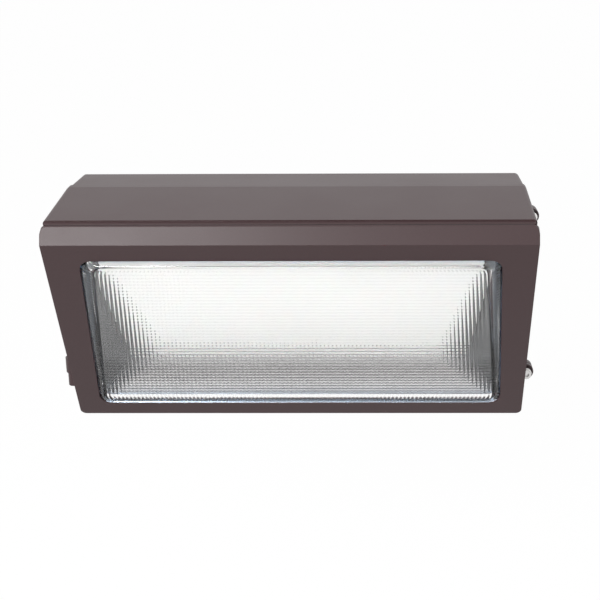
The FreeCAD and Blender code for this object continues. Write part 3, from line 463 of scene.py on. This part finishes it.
def rib_relief(row, column):
    """Ribs across the inside: pointed in most of the glass, flat-topped in the lowest part."""
    share = (row / (ROWS_PER_RIB * RIBS) - RIB_CHANGE[0]) / (RIB_CHANGE[1] - RIB_CHANGE[0])
    share = min(1.0, max(0.0, share))
    height = RIB_LOW + (RIB_TOP - RIB_LOW) * share
    return height / 2 * cos((row + 0.5 - 0.5 * share) * 2 * pi / ROWS_PER_RIB)


def flute_relief(row, column):
    return FLUTE_HEIGHT / 2 * cos(column * 2 * pi / COLUMNS_PER_FLUTE)


def window(inset, slope, low_edge=None):
    """Half widths, low edge and high edge of the glass, a share of the way up its sloped flank."""
    halves = (
        LENS_TOP_HALF - inset - slope * SLOPE_TOP,
        LENS_LOW_HALF - inset - slope * SLOPE_LOW,
    )
    if low_edge is None:
        low_edge = inset + slope * SLOPE_FOOT
    return halves, LENS_LOW + low_edge, LENS_HIGH - inset - slope * SLOPE_HEAD


def lens_shell():
    """Flange, rounded flank, a crown fluted upright on its outside and ribbed across on its inside."""
    shell = Shell()
    flange = (
        (LENS_FLANGE_HALF, LENS_FLANGE_HALF), LENS_LOW - FLANGE_REACH, LENS_HIGH + FLANGE_REACH
    )
    outside = [
        shell.ring(*flange, FLANGE_RADIUS, LENS_FLANGE_REAR),
        shell.ring(*flange, FLANGE_RADIUS, LENS_FLANGE_FRONT),
        shell.ring(*window(LENS_GAP, 0), OUTER_RADIUS, LENS_FLANGE_FRONT),
    ]
    for slope, out in FLANK_PROFILE:
        radius = OUTER_RADIUS - OUTER_TAPER * slope
        outside.append(shell.ring(*window(LENS_GAP, slope), radius, out))
    inset = LENS_GAP + WALL
    inside = []
    for slope, out, low_edge in INNER_PROFILE:
        tooth = TOOTH if 0.0 < slope < TOOTHED_SHARE else 0.0
        radius = INNER_RADIUS - INNER_TAPER * slope
        inside.append(shell.ring(*window(inset, slope, low_edge), radius, out, tooth))
    for one, two in zip(outside, outside[1:]):
        shell.join(one, two, inward=False, smooth=True)
    for one, two in zip(inside, inside[1:]):
        shell.join(one, two, inward=True, smooth=False)
    shell.join(inside[0], outside[0], inward=False, smooth=False)
    shell.sheet(
        *window(LENS_GAP, 1.0), OUTER_RADIUS - OUTER_TAPER, CROWN_ROWS, COLUMNS_PER_FLUTE * FLUTES,
        RIM_HEIGHT, flute_relief, inward=False, smooth=True,
    )
    shell.sheet(
        *window(inset, 1.0, RIB_FOOT), INNER_RADIUS - INNER_TAPER, ROWS_PER_RIB * RIBS,
        INNER_COLUMNS, INNER_LEVEL, rib_relief, inward=True, smooth=False,
    )
    return shell


lens = lens_shell().make("pressed_glass_lens", mats["clear_glass"], "hood")
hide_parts("lens")

# ---------------------------------------------------------------- studio

FLOOR_HEIGHT = -0.55
FLOOR_REACH = 14.0
FLOOR_GLOW = 0.93
FLOOR_SHADE = 0.08
FLOOR_BOUNCE = 0.2
WORLD_LIGHT = 0.75
WORLD_SEEN = 0.985
LAMP_AIM = Vector((0.0, -0.1, 0.0))


def studio_floor():
    """A pale floor that is nearly white to the camera and takes the object's shadow."""
    mesh = bpy.data.meshes.new("studio_floor")
    corners = [(-1, -1), (1, -1), (1, 1), (-1, 1)]
    points = [(x * FLOOR_REACH, y * FLOOR_REACH, FLOOR_HEIGHT) for x, y in corners]
    mesh.from_pydata(points, [], [(0, 1, 2, 3)])
    floor = bpy.data.objects.new("studio_floor", mesh)
    bpy.context.scene.collection.objects.link(floor)
    mat, g = material("studio_floor")
    seen = g.node("ShaderNodeAddShader")
    glow = g.node("ShaderNodeEmission", None, Color=WHITE, Strength=FLOOR_GLOW)
    g.link(g.diffuse(FLOOR_SHADE), seen.inputs[0])
    g.link(glow.outputs[0], seen.inputs[1])
    g.finish(g.choose(g.sees_backdrop(), g.diffuse(FLOOR_BOUNCE), seen.outputs[0]))
    mesh.materials.append(mat)


def studio_world():
    """An even pale world, seen nearly white by the camera, metal and glass."""
    world = bpy.data.worlds.new("studio")
    world.use_nodes = True
    g = Graph(world.node_tree)
    light = g.node("ShaderNodeBackground", None, Color=WHITE, Strength=WORLD_LIGHT)
    seen = g.node("ShaderNodeBackground", None, Color=WHITE, Strength=WORLD_SEEN)
    both = g.choose(g.sees_backdrop(), light.outputs[0], seen.outputs[0])
    g.finish(both, "ShaderNodeOutputWorld")
    bpy.context.scene.world = world


def soft_light(name, spot, width, height, power):
    data = bpy.data.lights.new(name, "AREA")
    data.shape = "RECTANGLE"
    data.size = width
    data.size_y = height
    data.energy = power
    lamp = bpy.data.objects.new(name, data)
    lamp.location = spot
    lamp.visible_camera = False
    lamp.rotation_euler = (LAMP_AIM - Vector(spot)).to_track_quat("-Z", "Y").to_euler()
    bpy.context.scene.collection.objects.link(lamp)


studio_floor()
studio_world()
soft_light("key", (-0.62, -1.6, 0.7), 0.55, 0.5, 17)
soft_light("front", (0.25, -3.0, -0.25), 2.6, 0.9, 9)

# ---------------------------------------------------------------- camera, at the photograph's place

IMAGE = 600
FOCAL_PIXELS = 1288.3
SENSOR_WIDTH = 36
CENTRE = (364.4, 318.0)
TURN, PITCH, ROLL = radians(-0.867), radians(-18.229), radians(-0.349)
CAMERA_SPOT = (0.0867, -1.3295, 0.395)

ahead = Vector((sin(TURN) * cos(PITCH), cos(TURN) * cos(PITCH), sin(PITCH)))
level = Vector((cos(TURN), -sin(TURN), 0))
above = level.cross(ahead)
right = cos(ROLL) * level + sin(ROLL) * above
up = -sin(ROLL) * level + cos(ROLL) * above
optics = bpy.data.cameras.new("photo_camera")
optics.sensor_width = SENSOR_WIDTH
optics.lens = FOCAL_PIXELS / IMAGE * SENSOR_WIDTH
optics.shift_x = (IMAGE / 2 - CENTRE[0]) / IMAGE
optics.shift_y = (CENTRE[1] - IMAGE / 2) / IMAGE
camera = bpy.data.objects.new("photo_camera", optics)
bpy.context.scene.collection.objects.link(camera)
turn = Matrix((right, up, -ahead)).transposed()
camera.matrix_world = Matrix.Translation(CAMERA_SPOT) @ turn.to_4x4()
bpy.context.scene.camera = camera
bpy.context.scene.view_settings.view_transform = "Standard"
